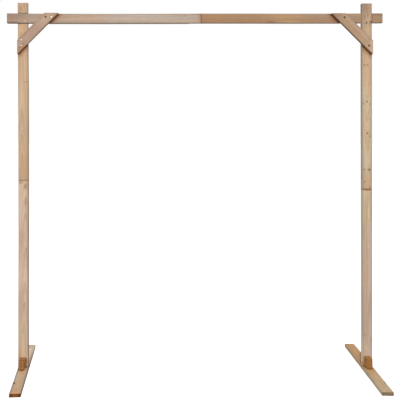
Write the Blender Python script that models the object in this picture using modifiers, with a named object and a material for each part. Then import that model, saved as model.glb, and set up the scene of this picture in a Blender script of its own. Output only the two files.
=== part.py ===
"""Wooden garden arch of half-lapped timber, with corner braces and flat board feet.

Metres, +Z up. The origin lies on the ground, midway between the posts. The front faces -Y.
Run it with Blender in the background, or from the text editor.
"""

from math import radians, sqrt

import bmesh
import bpy
from mathutils import Matrix, Vector

# Overall sizes
ARCH_WIDTH = 2.200
ARCH_HEIGHT = 2.150
FOOT_LENGTH = 0.850
FOOT_TOE_IN = radians(3.7)

# Timber sections
BOARD_WIDTH = 0.059
POST_THICKNESS = 0.028
FOOT_WIDTH = 0.0615
FOOT_THICKNESS = 0.020
BRACE_WIDTH = 0.060
BRACE_THICKNESS = 0.020
BLOCK_WIDTH = 0.034
BLOCK_DEPTH = 0.050
BLOCK_HEIGHT = 0.059
EASED_EDGE = 0.0015

# Joinery
BEAM_OVERHANG = 0.063
POST_OVERHANG = {"left": 0.062, "right": 0.058}
POST_LAP = 0.0555
POST_LAP_MIDDLE = 1.0850
BEAM_LAP = 0.0714
BRACE_LEG = 0.243
BRACE_DROP = {"left": 0.0, "right": 0.003}
BLOCK_SHIFT = -0.003
GAP = 0.0003
CUT_MARGIN = 0.010

# Screws: head radius, shank radius, length
SHORT_SCREW = (0.0035, 0.0018, 0.024)
BRACE_SCREW = (0.0040, 0.0020, 0.040)
FOOT_SCREW = (0.0045, 0.0022, 0.060)
BLOCK_SCREW = (0.0040, 0.0020, 0.045)
HEAD_SINK = 0.0004
TIP_LENGTH = 0.005
SCREW_SIDES = 12

# Screw places
BRACE_SCREW_SPACING = 0.034
BRACE_SCREW_INSET = 0.024
BRACE_LOWER_PAIR = 0.173
BRACE_UPPER_PAIR = 0.183
LAP_SCREW_OFFSET = 0.015
FOOT_SCREW_OFFSET = 0.016

# Places worked out from the sizes above
POST_X = ARCH_WIDTH / 2 - BEAM_OVERHANG - BOARD_WIDTH / 2
POST_OUTER_X = POST_X + BOARD_WIDTH / 2
BEAM_TOP = ARCH_HEIGHT - max(POST_OVERHANG.values())
BEAM_Z = BEAM_TOP - BOARD_WIDTH / 2
FACE_Y = POST_THICKNESS / 2
LAP_LOW = POST_LAP_MIDDLE - POST_LAP / 2
LAP_HIGH = POST_LAP_MIDDLE + POST_LAP / 2
FRONT = -1
REAR = 1
ALONG_X = 0
ALONG_Y = 1
ALONG_Z = 2
FORWARD = (0.0, -1.0, 0.0)
DOWN = (0.0, 0.0, -1.0)
SIDES = {"left": -1, "right": 1}

# Colours (linear) with roughness and metallic value
PALE_TIMBER = ((0.52, 0.37, 0.25, 1.0), 0.72, 0.0)
GREY_TIMBER = ((0.46, 0.35, 0.27, 1.0), 0.74, 0.0)
BROWN_TIMBER = ((0.42, 0.26, 0.15, 1.0), 0.70, 0.0)
END_TIMBER = ((0.33, 0.14, 0.05, 1.0), 0.80, 0.0)
ZINC = ((0.55, 0.50, 0.42, 1.0), 0.40, 1.0)


def clear_scene():
    """Remove every object that the file holds."""
    for thing in list(bpy.data.objects):
        bpy.data.objects.remove(thing, do_unlink=True)


def make_collection(name):
    """Add a collection to the scene."""
    collection = bpy.data.collections.new(name)
    bpy.context.scene.collection.children.link(collection)
    return collection


def make_material(name, look):
    """A plain Principled material for one sub-part."""
    colour, roughness, metallic = look
    material = bpy.data.materials.new(name)
    material.use_nodes = True
    shader = material.node_tree.nodes["Principled BSDF"]
    shader.inputs["Base Color"].default_value = colour
    shader.inputs["Roughness"].default_value = roughness
    shader.inputs["Metallic"].default_value = metallic
    material.diffuse_color = colour
    return material


def link_mesh(name, bm, collection):
    """Turn a bmesh into an object of the collection."""
    bmesh.ops.recalc_face_normals(bm, faces=bm.faces)
    mesh = bpy.data.meshes.new(name)
    bm.to_mesh(mesh)
    bm.free()
    thing = bpy.data.objects.new(name, mesh)
    collection.objects.link(thing)
    return thing


def block_bmesh(size):
    """A box of the given size, centred on its own origin."""
    bm = bmesh.new()
    bmesh.ops.create_cube(bm, size=1.0, matrix=Matrix.Diagonal(Vector(size)).to_4x4())
    return bm


def ease_long_edges(bm, grain):
    """Chamfer the four edges that run along the grain."""
    def runs_along(edge):
        step = edge.verts[1].co - edge.verts[0].co
        return abs(step[grain]) > 0.99 * step.length
    edges = [edge for edge in bm.edges if runs_along(edge)]
    bmesh.ops.bevel(bm, geom=edges, offset=EASED_EDGE, segments=1, affect="EDGES")


def add_board(name, low, high, grain, look):
    """A planed board between two corners, with eased edges along its grain."""
    low = Vector(low)
    high = Vector(high)
    bm = block_bmesh(high - low)
    ease_long_edges(bm, grain)
    board = link_mesh(name, bm, PARTS)
    board.location = (low + high) / 2
    board.data.materials.append(make_material(name, look))
    return board


def hide_cutter(cutter):
    """Keep a cutter out of the render, drawn as wire."""
    cutter.hide_render = True
    cutter.display_type = "WIRE"


def cut(board, cutter):
    """Take the cutter's shape out of the board."""
    boolean = board.modifiers.new(cutter.name, "BOOLEAN")
    boolean.operation = "DIFFERENCE"
    boolean.solver = "EXACT"
    boolean.object = cutter


def cut_half(board, name, face, low, high):
    """Half-lap cut: take away one half of the thickness between two (x, z) corners."""
    middle_y = -face * GAP / 2
    outer_y = face * (FACE_Y + CUT_MARGIN)
    low_corner = Vector((low[0], min(middle_y, outer_y), low[1]))
    high_corner = Vector((high[0], max(middle_y, outer_y), high[1]))
    cutter = link_mesh(board.name + name, block_bmesh(high_corner - low_corner), CUTTERS)
    cutter.location = (low_corner + high_corner) / 2
    hide_cutter(cutter)
    cut(board, cutter)


def turned(name, profile, collection):
    """A turned shape: the profile lists (radius, height) from the top down its outer side."""
    mesh = bpy.data.meshes.new(name)
    points = [(radius, 0.0, height) for radius, height in profile]
    edges = [(i, i + 1) for i in range(len(points) - 1)]
    mesh.from_pydata(points, edges, [])
    thing = bpy.data.objects.new(name, mesh)
    collection.objects.link(thing)
    screw = thing.modifiers.new("turn", "SCREW")
    screw.axis = "Z"
    screw.steps = SCREW_SIDES
    screw.render_steps = SCREW_SIDES
    screw.use_merge_vertices = True
    screw.merge_threshold = 0.00001
    screw.use_smooth_shade = False
    return thing


def screw_profile(size, clearance):
    """Countersunk screw from the middle of its head down to its point."""
    head, shank, length = size
    neck_height = -(head - shank)
    tip_height = -length - clearance
    return [
        (0.0, 0.0),
        (head + clearance, 0.0),
        (shank + clearance, neck_height),
        (shank + clearance, -length + TIP_LENGTH),
        (0.0, tip_height),
    ]


def hole_profile(size):
    """The screw's own outline with clearance, carried on past the timber's face."""
    outline = screw_profile(size, GAP)
    mouth_radius = outline[1][0]
    mouth = [(0.0, CUT_MARGIN / 2), (mouth_radius, CUT_MARGIN / 2)]
    return mouth + outline[1:]


def add_screw(name, size, head_place, head_direction, timbers):
    """A countersunk screw in its own hole, with its head just under the timber's face."""
    turn = Vector((0.0, 0.0, 1.0)).rotation_difference(Vector(head_direction)).to_euler()
    place = Vector(head_place) - HEAD_SINK * Vector(head_direction)
    screw = turned(name, screw_profile(size, 0.0), PARTS)
    screw.data.materials.append(make_material(name, ZINC))
    hole = turned(name + "_hole", hole_profile(size), CUTTERS)
    hide_cutter(hole)
    for thing in (screw, hole):
        thing.location = place
        thing.rotation_euler = turn
    for timber in timbers:
        cut(timber, hole)


def add_foot(side_name, side):
    """A board lying front to back under the post, its front end toed in."""
    foot = add_board(
        side_name + "_foot",
        (-FOOT_WIDTH / 2, -FOOT_LENGTH / 2, 0.0),
        (FOOT_WIDTH / 2, FOOT_LENGTH / 2, FOOT_THICKNESS),
        ALONG_Y,
        PALE_TIMBER,
    )
    foot.location.x = side * POST_X
    foot.rotation_euler.z = -side * FOOT_TOE_IN
    return foot


def add_blocks(side_name, side):
    """Short timber blocks on the foot, against the front and the rear of the post."""
    blocks = []
    middle_x = side * POST_X + BLOCK_SHIFT
    for face_name, face in (("front", FRONT), ("rear", REAR)):
        near_y = face * (FACE_Y + GAP)
        far_y = face * (FACE_Y + GAP + BLOCK_DEPTH)
        base_z = FOOT_THICKNESS + GAP
        block = add_board(
            side_name + "_" + face_name + "_block",
            (middle_x - BLOCK_WIDTH / 2, min(near_y, far_y), base_z),
            (middle_x + BLOCK_WIDTH / 2, max(near_y, far_y), base_z + BLOCK_HEIGHT),
            ALONG_Y,
            END_TIMBER,
        )
        blocks.append(block)
    return blocks


def add_post(side_name, side):
    """Two lengths of post, half lapped to each other and notched for the beam."""
    left_x = side * POST_X - BOARD_WIDTH / 2
    right_x = side * POST_X + BOARD_WIDTH / 2
    cut_low_x = left_x - CUT_MARGIN
    cut_high_x = right_x + CUT_MARGIN
    lower = add_board(
        side_name + "_post_lower",
        (left_x, -FACE_Y, FOOT_THICKNESS + GAP),
        (right_x, FACE_Y, LAP_HIGH - GAP / 2),
        ALONG_Z,
        PALE_TIMBER,
    )
    upper = add_board(
        side_name + "_post_upper",
        (left_x, -FACE_Y, LAP_LOW + GAP / 2),
        (right_x, FACE_Y, BEAM_TOP + POST_OVERHANG[side_name]),
        ALONG_Z,
        PALE_TIMBER,
    )
    lower_corners = (cut_low_x, LAP_LOW - GAP / 2), (cut_high_x, LAP_HIGH + CUT_MARGIN)
    upper_corners = (cut_low_x, LAP_LOW - CUT_MARGIN), (cut_high_x, LAP_HIGH + GAP / 2)
    notch_corners = (cut_low_x, BEAM_TOP - BOARD_WIDTH - GAP), (cut_high_x, BEAM_TOP + GAP)
    cut_half(lower, "_lap", -side, *lower_corners)
    cut_half(upper, "_lap", side, *upper_corners)
    cut_half(upper, "_notch", side, *notch_corners)
    return lower, upper


def add_beam(side_name, side):
    """One length of the beam, notched for its post and half lapped at the middle."""
    end_x = side * ARCH_WIDTH / 2
    tongue_x = -side * (BEAM_LAP / 2 - GAP / 2)
    length = add_board(
        "beam_" + side_name,
        (min(end_x, tongue_x), -FACE_Y, BEAM_TOP - BOARD_WIDTH),
        (max(end_x, tongue_x), FACE_Y, BEAM_TOP),
        ALONG_X,
        GREY_TIMBER if side < 0 else BROWN_TIMBER,
    )
    low_z = BEAM_TOP - BOARD_WIDTH - CUT_MARGIN
    high_z = BEAM_TOP + CUT_MARGIN
    shoulder_x = side * (BEAM_LAP / 2 + GAP / 2)
    past_x = -side * (BEAM_LAP / 2 + CUT_MARGIN)
    notch_half = BOARD_WIDTH / 2 + GAP
    lap_corners = (min(shoulder_x, past_x), low_z), (max(shoulder_x, past_x), high_z)
    notch_corners = (side * POST_X - notch_half, low_z), (side * POST_X + notch_half, high_z)
    cut_half(length, "_lap", -side, *lap_corners)
    cut_half(length, "_notch", -side, *notch_corners)
    return length


def add_brace(side_name, side):
    """A 45 degree brace, cut level with the beam's top edge and the post's outer edge."""
    long_edge = BRACE_LEG * sqrt(2)
    bm = block_bmesh((long_edge, BRACE_THICKNESS, BRACE_WIDTH))
    ease_long_edges(bm, ALONG_X)
    for end in (-1, 1):
        bmesh.ops.bisect_plane(
            bm,
            geom=bm.verts[:] + bm.edges[:] + bm.faces[:],
            plane_co=(end * long_edge / 2, 0.0, -BRACE_WIDTH / 2),
            plane_no=(end, 0.0, 1.0),
            clear_outer=True,
        )
        open_edges = [edge for edge in bm.edges if edge.is_boundary]
        bmesh.ops.edgeloop_fill(bm, edges=open_edges)
    name = side_name + "_brace"
    brace = link_mesh(name, bm, PARTS)
    brace.data.materials.append(make_material(name, GREY_TIMBER))
    inward = BRACE_LEG / 2 - BRACE_WIDTH / (2 * sqrt(2))
    brace.location = (
        side * (POST_OUTER_X - inward),
        -(FACE_Y + GAP + BRACE_THICKNESS / 2),
        BEAM_TOP - BRACE_DROP[side_name] - inward,
    )
    brace.rotation_euler.y = side * radians(45)
    return brace


def add_brace_screws(side_name, side, brace, post_upper, beam):
    """A pair of screws at each end of a brace."""
    face_y = -(FACE_Y + GAP + BRACE_THICKNESS)
    top_z = BEAM_TOP - BRACE_DROP[side_name]
    for number, along in enumerate((-BRACE_SCREW_SPACING / 2, BRACE_SCREW_SPACING / 2), start=1):
        lower_place = (
            side * (POST_OUTER_X - BRACE_SCREW_INSET),
            face_y,
            top_z - BRACE_LOWER_PAIR + along,
        )
        upper_place = (
            side * (POST_OUTER_X - BRACE_UPPER_PAIR + along),
            face_y,
            top_z - BRACE_SCREW_INSET,
        )
        lower_name = "{}_brace_lower_screw_{}".format(side_name, number)
        upper_name = "{}_brace_upper_screw_{}".format(side_name, number)
        add_screw(lower_name, BRACE_SCREW, lower_place, FORWARD, (brace, post_upper))
        add_screw(upper_name, BRACE_SCREW, upper_place, FORWARD, (brace, beam))


def add_lap_screws(name, centre_x, centre_z, timbers):
    """Two screws from the front, on the falling diagonal of a half lap."""
    for number, away in enumerate((-LAP_SCREW_OFFSET, LAP_SCREW_OFFSET), start=1):
        place = (centre_x + away, -FACE_Y, centre_z - away)
        add_screw("{}_screw_{}".format(name, number), SHORT_SCREW, place, FORWARD, timbers)


def add_foot_screws(side_name, side, foot, post_lower, blocks):
    """Screws driven up through the foot: two into the post's end and one into each block."""
    for number, away in enumerate((-FOOT_SCREW_OFFSET, FOOT_SCREW_OFFSET), start=1):
        place = (side * POST_X + away, 0.0, 0.0)
        name = "{}_foot_post_screw_{}".format(side_name, number)
        add_screw(name, FOOT_SCREW, place, DOWN, (foot, post_lower))
    for block in blocks:
        place = (block.location.x, block.location.y, 0.0)
        add_screw(block.name + "_screw", BLOCK_SCREW, place, DOWN, (foot, block))


def build_side(side_name, side):
    """One post with its foot, blocks, brace and length of beam. Returns the beam length."""
    foot = add_foot(side_name, side)
    blocks = add_blocks(side_name, side)
    post_lower, post_upper = add_post(side_name, side)
    beam = add_beam(side_name, side)
    brace = add_brace(side_name, side)
    add_brace_screws(side_name, side, brace, post_upper, beam)
    add_lap_screws(side_name + "_crossing", side * POST_X, BEAM_Z, (post_upper, beam))
    add_lap_screws(side_name + "_post_lap", side * POST_X, POST_LAP_MIDDLE, (post_lower, post_upper))
    add_foot_screws(side_name, side, foot, post_lower, blocks)
    return beam


clear_scene()
PARTS = make_collection("wooden_garden_arch")
CUTTERS = make_collection("cutters")
beam_lengths = [build_side(side_name, side) for side_name, side in SIDES.items()]
add_lap_screws("beam_lap", 0.0, BEAM_Z, beam_lengths)
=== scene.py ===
"""The looks of the wooden garden arch: weathered softwood, zinc screws, floor, light and camera.

Metres, +Z up, the front faces -Y. Each timber and each screw replaces its CAD node in the same place.
"""

from dataclasses import dataclass
from math import cos, pi, radians, sin, sqrt
from random import Random

import bmesh
import bpy
from mathutils import Matrix, Vector, noise


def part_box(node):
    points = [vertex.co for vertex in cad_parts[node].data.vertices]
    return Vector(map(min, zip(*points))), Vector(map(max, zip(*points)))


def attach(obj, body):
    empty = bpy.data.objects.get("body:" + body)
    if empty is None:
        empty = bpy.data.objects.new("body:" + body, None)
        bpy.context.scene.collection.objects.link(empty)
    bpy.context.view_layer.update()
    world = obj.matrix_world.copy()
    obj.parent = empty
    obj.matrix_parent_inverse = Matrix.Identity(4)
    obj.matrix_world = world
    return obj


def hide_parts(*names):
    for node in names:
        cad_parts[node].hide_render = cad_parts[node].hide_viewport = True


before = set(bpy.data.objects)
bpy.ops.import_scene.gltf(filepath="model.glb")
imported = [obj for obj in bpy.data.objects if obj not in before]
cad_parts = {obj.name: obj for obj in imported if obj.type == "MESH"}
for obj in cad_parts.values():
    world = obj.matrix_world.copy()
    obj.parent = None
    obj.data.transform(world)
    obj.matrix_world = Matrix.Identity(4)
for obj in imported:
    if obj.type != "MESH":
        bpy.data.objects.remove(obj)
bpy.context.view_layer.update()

# Camera: where the photograph was taken from. Its centre and focal length are in the photo's pixels.
PHOTO_SIZE = 400.0
CENTRE_PIXEL = (146.7, 138.4)
FOCAL_PIXELS = 680.6
EYE = (-0.311, -3.994, 1.3565)
EYE_TURN = radians(0.386)
EYE_TILT = radians(-0.087)
SENSOR_MM = 36.0
FARTHEST_SEEN = 500.0

# Floor, sky and lights. A softbox has a name, a place, a point that it faces, a size and a power in watts.
FLOOR_REACH = 150.0
FLOOR_WHITE = (0.95, 0.95, 0.95, 1.0)
WHITE = (1.0, 1.0, 1.0, 1.0)
HIGH_SKY = (0.6, 0.6, 0.61, 1.0)
HORIZON_SKY = (0.86, 0.86, 0.86, 1.0)
LOW_SKY = (0.37, 0.34, 0.31, 1.0)
SOFTBOXES = (
    ("key_softbox", (0.3, -5.4, 4.4), (0.0, 0.0, 1.0), 3.0, 220.0),
    ("rear_softbox", (1.5, 6.0, 3.0), (0.0, 0.0, 1.1), 4.0, 120.0),
)

# Sizes of the timber that the frame's boxes don't give
FOOT_LENGTH = 0.85
FOOT_WIDTH = 0.0615
FOOT_TOE_IN = radians(3.7)
BRACE_WIDTH = 0.06

# Surface of the timber, and the steps of its mesh
ARRIS_RADIUS = 0.0017
ARRIS_WANDER = 0.45
SMALLEST_ARRIS = 0.0003
LARGEST_ARRIS = 0.005
TIP_BLUNT = 0.0035
END_EASE = 0.0011
SHOULDER_EASE = 0.0007
SEAM = 0.0006
LAP_GAP = 0.0003
RELIEF = 0.00025
SAW_MARKS = 0.00035
STATION_STEP = 0.006
NARROW_STEP = 0.0012
SHOULDER_STEP = 0.00005
WELD_REACH = 0.000001
ARC_STEPS = 3
EASE_STEPS = 3
WIDTH_STEPS = 14
SIDE_STEPS = 6
CAP_LOOPS = (0.22, 0.5, 0.78, 1.0)
TIMBER_CREASE = 38.0

# How finely the surface varies, along the grain and across it
ARRIS_GRAIN = 9.0
CORNER_GRAIN = 5.3
RELIEF_ALONG = 7.0
RELIEF_ACROSS = 120.0
SAW_GRAIN = 260.0

# Knocks on the arrises, and drying checks, placed and cut in shares of the board's width and thickness
DENTS_A_METRE = 7.0
DENT_DEPTH = (0.0004, 0.0016)
DENT_HALF_LENGTH = (0.003, 0.012)
CHECK_SIDES = (-1.0, 1.0)
CHECK_PLACE = (0.08, 0.36)
CHECK_HALF_MOUTH = (0.00025, 0.0005)
CHECK_LENGTH = (0.012, 0.038)
CHECK_DEPTH = (0.3, 0.62)
CHECK_WANDER = (-0.001, 0.001)

# Screws and their holes. The recess's length, width and depth are in radii of the head.
SCREW_SIDES = 24
HOLE_SIDES = 20
HOLE_CLEARANCE = 0.0003
MOUTH_FLARE = 0.0006
CUT_MARGIN = 0.004
HEAD_FLAT = 0.55
HEAD_RIM = 0.0002
PLAIN_SHANK = 0.18
THREAD_PITCH = 0.0022
THREAD_DEPTH = 0.0006
THREAD_STEP = 0.0003
RINGS_A_PITCH = 6
TIP_LENGTH = 0.005
RECESS_LONG = 1.15
RECESS_WIDE = 0.26
RECESS_DEEP = 0.55
RECESS_PROUD = 0.0005
RECESS_TAPER = (0.55, 0.8)
SCREW_CREASE = 35.0

X = Vector((1.0, 0.0, 0.0))
Y = Vector((0.0, 1.0, 0.0))
Z = Vector((0.0, 0.0, 1.0))
SIDES = {"left": -1, "right": 1}


def tone(red, green, blue):
    """Linear colour of a tone given as it looks on a screen, 0 to 255."""
    def linear(value):
        value = value / 255.0
        return value / 12.92 if value <= 0.04045 else ((value + 0.055) / 1.055) ** 2.4
    return (linear(red), linear(green), linear(blue), 1.0)


# Tones of the timber, as they look in plain light
HONEY = tone(200, 169, 136)
APRICOT = tone(194, 162, 131)
TAN = tone(192, 164, 133)
SAND = tone(202, 179, 150)
STRAW = tone(210, 193, 162)
PALE_ROSE = tone(204, 180, 158)
ROSE = tone(190, 163, 143)
OAT = tone(190, 167, 139)
COCOA = tone(183, 153, 125)
DUSK = tone(162, 133, 113)
ASH = tone(192, 173, 158)
STONE = tone(187, 166, 149)
FAWN = tone(184, 157, 138)
CLAY = tone(179, 147, 118)
MAUVE = tone(176, 144, 124)
CHESTNUT = tone(176, 140, 107)
BISCUIT = tone(174, 146, 120)
AMBER = tone(180, 139, 102)
GINGER = tone(188, 152, 116)
WHEAT = tone(184, 156, 117)
OCHRE = tone(184, 133, 75)
HAZEL = tone(166, 122, 82)
COFFEE = tone(140, 108, 88)
RUST = tone(178, 130, 86)
GLOW = tone(214, 156, 104)
GOLD = tone(204, 164, 114)
CREAM = tone(224, 200, 176)
PEACH = tone(222, 184, 144)
GREY = tone(150, 139, 124)
OLIVE_GREY = tone(170, 152, 126)
SLATE = tone(132, 130, 124)
BLOCK_BROWN = tone(158, 114, 72)
BLOCK_RUST = tone(158, 104, 54)
BLOCK_GOLD = tone(180, 128, 68)
BLOCK_END = tone(168, 114, 62)
BLOCK_GOLD_END = tone(172, 124, 66)
BLOCK_RIM = tone(116, 74, 38)
# Painted highlight: the pale line inside the dark frame of a block's end
BLOCK_HIGHLIGHT = tone(204, 146, 86)
END_BROWN = tone(156, 92, 24)
END_OLIVE = tone(146, 127, 96)
END_UMBER = tone(72, 50, 30)
END_GREY = tone(112, 108, 94)
# Used for stains, and for the brown glow of the painted shadow below the braces
STAIN_AND_SHADOW = tone(160, 106, 62)
# Used for dark specks, dirt in seams and dark patches near the blocks, and for painted shade under and
# below the braces
DIRT_AND_SHADE = tone(106, 60, 24)
NEAR_BLACK = tone(52, 42, 32)
KNOT_DARK = tone(92, 68, 40)
KNOT_RING = tone(146, 112, 74)
KNOT_RED = tone(142, 96, 62)

# Tints, which multiply a colour
LATE_TINT = (0.74, 0.62, 0.5, 1.0)
LIFT = (1.05, 1.08, 1.1, 1.0)
WARM_TINT = (1.035, 0.985, 0.915, 1.0)
COOL_TINT = (0.965, 1.01, 1.065, 1.0)
PLAIN = (1.0, 1.0, 1.0, 1.0)
# Painted light and shade for the narrow sides of boards: each of these tints lightens or darkens one side
LIT_FLANK = (1.32, 1.4, 1.42, 1.0)
SHADED_FLANK = (0.51, 0.41, 0.3, 1.0)
DARKER_SHADED_FLANK = (0.42, 0.31, 0.22, 1.0)
DIM_SHADED_FLANK = (0.5, 0.48, 0.46, 1.0)
GREY_LIT_FLANK = (1.16, 1.38, 1.7, 1.0)
COOL_SHADED_FLANK = (0.88, 0.94, 1.03, 1.0)

# Noise in the wood: how finely it varies along the grain and across it, its detail, and its seed's shift
WANDER = (1.7, 7.0, 1.0, 0.0)
STREAK = (1.3, 48.0, 2.0, 5.0)
CLOUD = (3.4, 17.0, 2.0, 9.0)
FIBRE = (9.0, 620.0, 3.0, 13.0)
PORE = (70.0, 2300.0, 1.0, 17.0)
HUE = (4.2, 60.0, 1.0, 21.0)
BLOT = (26.0, 60.0, 2.0, 25.0)
SPECK = (48.0, 360.0, 1.0, 29.0)
SEED_STEP = 3.7
CHECK_SEED = 100
SPIN_SEED = 5

# How far each noise brightens and darkens the wood
STREAK_SWAY = 0.36
BLOT_SWAY = 0.16
FIBRE_SWAY = 0.26
PORE_SWAY = 0.12
END_SWAY = 0.3

# How far noise shifts the grain, the tones (in shares of the board's length) and the edge of the wear
GRAIN_SHIFT = 0.008
TONE_SHIFT = 0.05
WORN_SHIFT = 0.004

# Where looks come or go: in parts of a ring, metres, a mark's reach, and how far the surface has turned
LATE_RISE = (0.25, 0.86)
LATE_FALL = (0.93, 1.0)
SIDE_BAND = (-0.01, 0.035)
JOINT_BAND = (0.0018, 0.0075)
CUT_BAND = 0.001
# Painted shadow below a brace: where it begins under the brace, and how far its brown glow reaches
SHADOW_RISE = (-0.014, -0.004)
SHADOW_GLOW = 0.03
BRACE_OVERLAP = 0.003
FRONT_BAND = (-0.012, -0.006)
EDGE_BAND = (0.0045, 0.0005)
MARK_BAND = (0.55, 1.35)
FLANK_TURN = (0.35, 0.85)
END_TURN = (0.42, 0.66)


@dataclass
class Board:
    """One timber in its own frame: X along the grain, Y across the face, -Z out of the face that shows."""
    node: str
    place: Matrix
    low_end: float
    high_end: float
    width: float
    thickness: float
    cut_face: int = 0
    cuts: tuple = ()
    joints: tuple = ()
    brace_edge: tuple = ()
    mitred: bool = False


@dataclass
class Look:
    """How one timber looks, with tones from its low end to its high end.

    A knot is a place along from the low end, a place across and a radius. A mark is a soft spot, streak or
    band: a place along and across, a reach along and across, a tone and a share.
    """
    seed: int
    slot: str
    along: tuple
    side_tone: tuple
    side_share: float
    pith: tuple
    ring: float
    drift: tuple = (0.0, 0.0)
    knots: tuple = ()
    marks: tuple = ()
    end_tone: tuple = END_BROWN
    rim_tone: tuple = END_UMBER
    rim_reach: float = 0.012
    end_frame: float = 0.0
    edge_tone: tuple = GREY
    edge_reach: float = 0.0125
    edge_share: float = 0.65
    joint_share: float = 0.45
    # How far the darker core of the painted shadow below a brace reaches
    shadow_reach: float = 0.015
    specks: float = 0.15
    hue_share: float = 1.0
    lift: float = 1.0
    # Painted light and shade on the two narrow sides: a tint for each
    flank_shading: tuple = (PLAIN, PLAIN)
    bend: tuple = (0.0, 0.0)
    shaved: tuple = (0.0, 0.0)


LOOKS = {}
LOOKS["left_post_lower"] = Look(
    seed=11, slot="post_timber", along=(HONEY, SAND, ROSE, PALE_ROSE, ROSE, PALE_ROSE, SAND),
    side_tone=ROSE, side_share=0.6, pith=(0.01, 0.06), drift=(0.012, 0.02), ring=0.0034,
    edge_share=0.5, joint_share=0.3, hue_share=0.5, lift=1.17,
    flank_shading=(PLAIN, DARKER_SHADED_FLANK), bend=(0.0, 0.0003, 0.001, 0.0022, 0.0024),
    knots=((0.2095, -0.001, 0.0015), (1.0686, 0.0185, 0.003)),
    marks=(
        (0.04, 0.024, 0.07, 0.007, PEACH, 0.8),
        (0.15, -0.015, 0.15, 0.012, PEACH, 0.45),
        # Darker brown patches on the post beside the foot of the front block
        (0.034, 0.018, 0.03, 0.0085, STAIN_AND_SHADOW, 1.0),
        (0.003, 0.02, 0.012, 0.009, DIRT_AND_SHADE, 0.9),
        (1.08, 0.002, 0.016, 0.06, HONEY, 0.8),
        (1.058, 0.01, 0.018, 0.014, TAN, 0.6),
        (0.93, 0.018, 0.13, 0.011, HONEY, 0.75),
        (0.691, 0.02, 0.018, 0.005, COCOA, 0.7),
        (0.656, 0.0033, 0.006, 0.006, DUSK, 0.45),
        (0.96, 0.015, 0.02, 0.008, OLIVE_GREY, 0.6),
        (1.06, 0.015, 0.01, 0.01, DUSK, 0.4),
    ),
)
LOOKS["left_post_upper"] = Look(
    seed=12, slot="post_timber", along=(COCOA, APRICOT, APRICOT, HONEY, HONEY, TAN, COCOA),
    side_tone=APRICOT, side_share=0.35, pith=(-0.006, 0.052), drift=(-0.01, 0.014), ring=0.0038,
    edge_tone=DUSK, edge_share=0.4, joint_share=0.35, shadow_reach=0.006, lift=1.09,
    flank_shading=(PLAIN, SHADED_FLANK), bend=(0.0024, 0.0027, 0.0022, 0.0008, 0.0),
    knots=((0.63, 0.0075, 0.0024), (0.63, 0.02, 0.002)),
    marks=(
        (0.341, 0.004, 0.01, 0.009, DUSK, 0.4),
        (0.12, 0.018, 0.1, 0.008, APRICOT, 0.5),
    ),
)
LOOKS["right_post_lower"] = Look(
    seed=13, slot="post_timber", along=(PALE_ROSE, ROSE, ROSE, ROSE, OAT, SAND),
    side_tone=STONE, side_share=0.35, pith=(0.016, 0.058), drift=(-0.014, 0.01), ring=0.0032,
    joint_share=0.5, hue_share=0.6, lift=1.06, flank_shading=(LIT_FLANK, PLAIN),
    knots=((0.182, -0.014, 0.0018),),
    marks=(
        (0.898, 0.0065, 0.046, 0.004, CREAM, 0.9),
        (0.703, 0.0085, 0.014, 0.0028, CREAM, 0.95),
        (0.617, 0.0025, 0.02, 0.0032, CREAM, 0.7),
        (0.786, -0.02, 0.06, 0.008, OLIVE_GREY, 0.5),
        (1.02, 0.0, 0.006, 0.03, CREAM, 0.45),
        (1.0315, 0.0, 0.0056, 0.06, HAZEL, 0.8),
        (0.107, -0.0059, 0.025, 0.008, CREAM, 0.65),
        (0.08, -0.028, 0.13, 0.011, PALE_ROSE, 0.8),
        (0.008, -0.025, 0.026, 0.014, RUST, 0.8),
        (0.15, 0.025, 0.13, 0.01, TAN, 0.6),
    ),
)
LOOKS["right_post_upper"] = Look(
    seed=14, slot="post_timber", along=(TAN, SAND, SAND, SAND, HONEY, TAN, DUSK),
    side_tone=TAN, side_share=0.5, pith=(0.004, 0.05), drift=(0.008, -0.012), ring=0.0036,
    joint_share=0.5, shadow_reach=0.006, specks=0.4, lift=0.98, flank_shading=(COOL_SHADED_FLANK, PLAIN),
    knots=(
        (0.7276, -0.015, 0.0034), (0.7276, 0.0065, 0.003), (0.513, 0.0, 0.0038),
        (0.327, -0.0008, 0.0038), (0.1126, -0.017, 0.0028), (0.1126, 0.0125, 0.0052),
        (0.974, -0.0036, 0.0044), (0.978, 0.023, 0.005),
    ),
    marks=(
        (0.052, -0.001, 0.046, 0.015, GOLD, 0.6),
        (0.565, -0.008, 0.05, 0.02, STRAW, 0.75),
        (0.5, -0.019, 0.009, 0.009, DUSK, 0.55),
        (0.5, 0.019, 0.011, 0.008, DUSK, 0.5),
        (0.65, 0.022, 0.13, 0.008, BISCUIT, 0.6),
        (0.309, 0.0194, 0.012, 0.0065, COFFEE, 0.5),
        (0.97, 0.015, 0.026, 0.005, KNOT_RED, 0.6),
        (1.0, -0.015, 0.02, 0.004, KNOT_RED, 0.5),
    ),
)
LOOKS["beam_left"] = Look(
    seed=15, slot="pale_beam_timber", along=(DUSK, FAWN, ROSE, ASH, ASH, STONE),
    side_tone=STONE, side_share=0.55, pith=(-0.03, 0.04), drift=(0.022, 0.01), ring=0.003,
    lift=0.95, bend=(-0.002, 0.0005, 0.001, 0.0006, 0.0), shaved=(0.0015, 0.0008),
    marks=(
        (0.026, 0.0, 0.026, 0.01, RUST, 0.5),
        (0.034, 0.024, 0.05, 0.01, COFFEE, 0.85),
        (0.1, 0.004, 0.05, 0.02, CLAY, 0.6),
        (1.13, 0.0, 0.018, 0.06, CHESTNUT, 0.55),
        (1.11, -0.026, 0.045, 0.01, COFFEE, 0.35),
    ),
)
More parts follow.
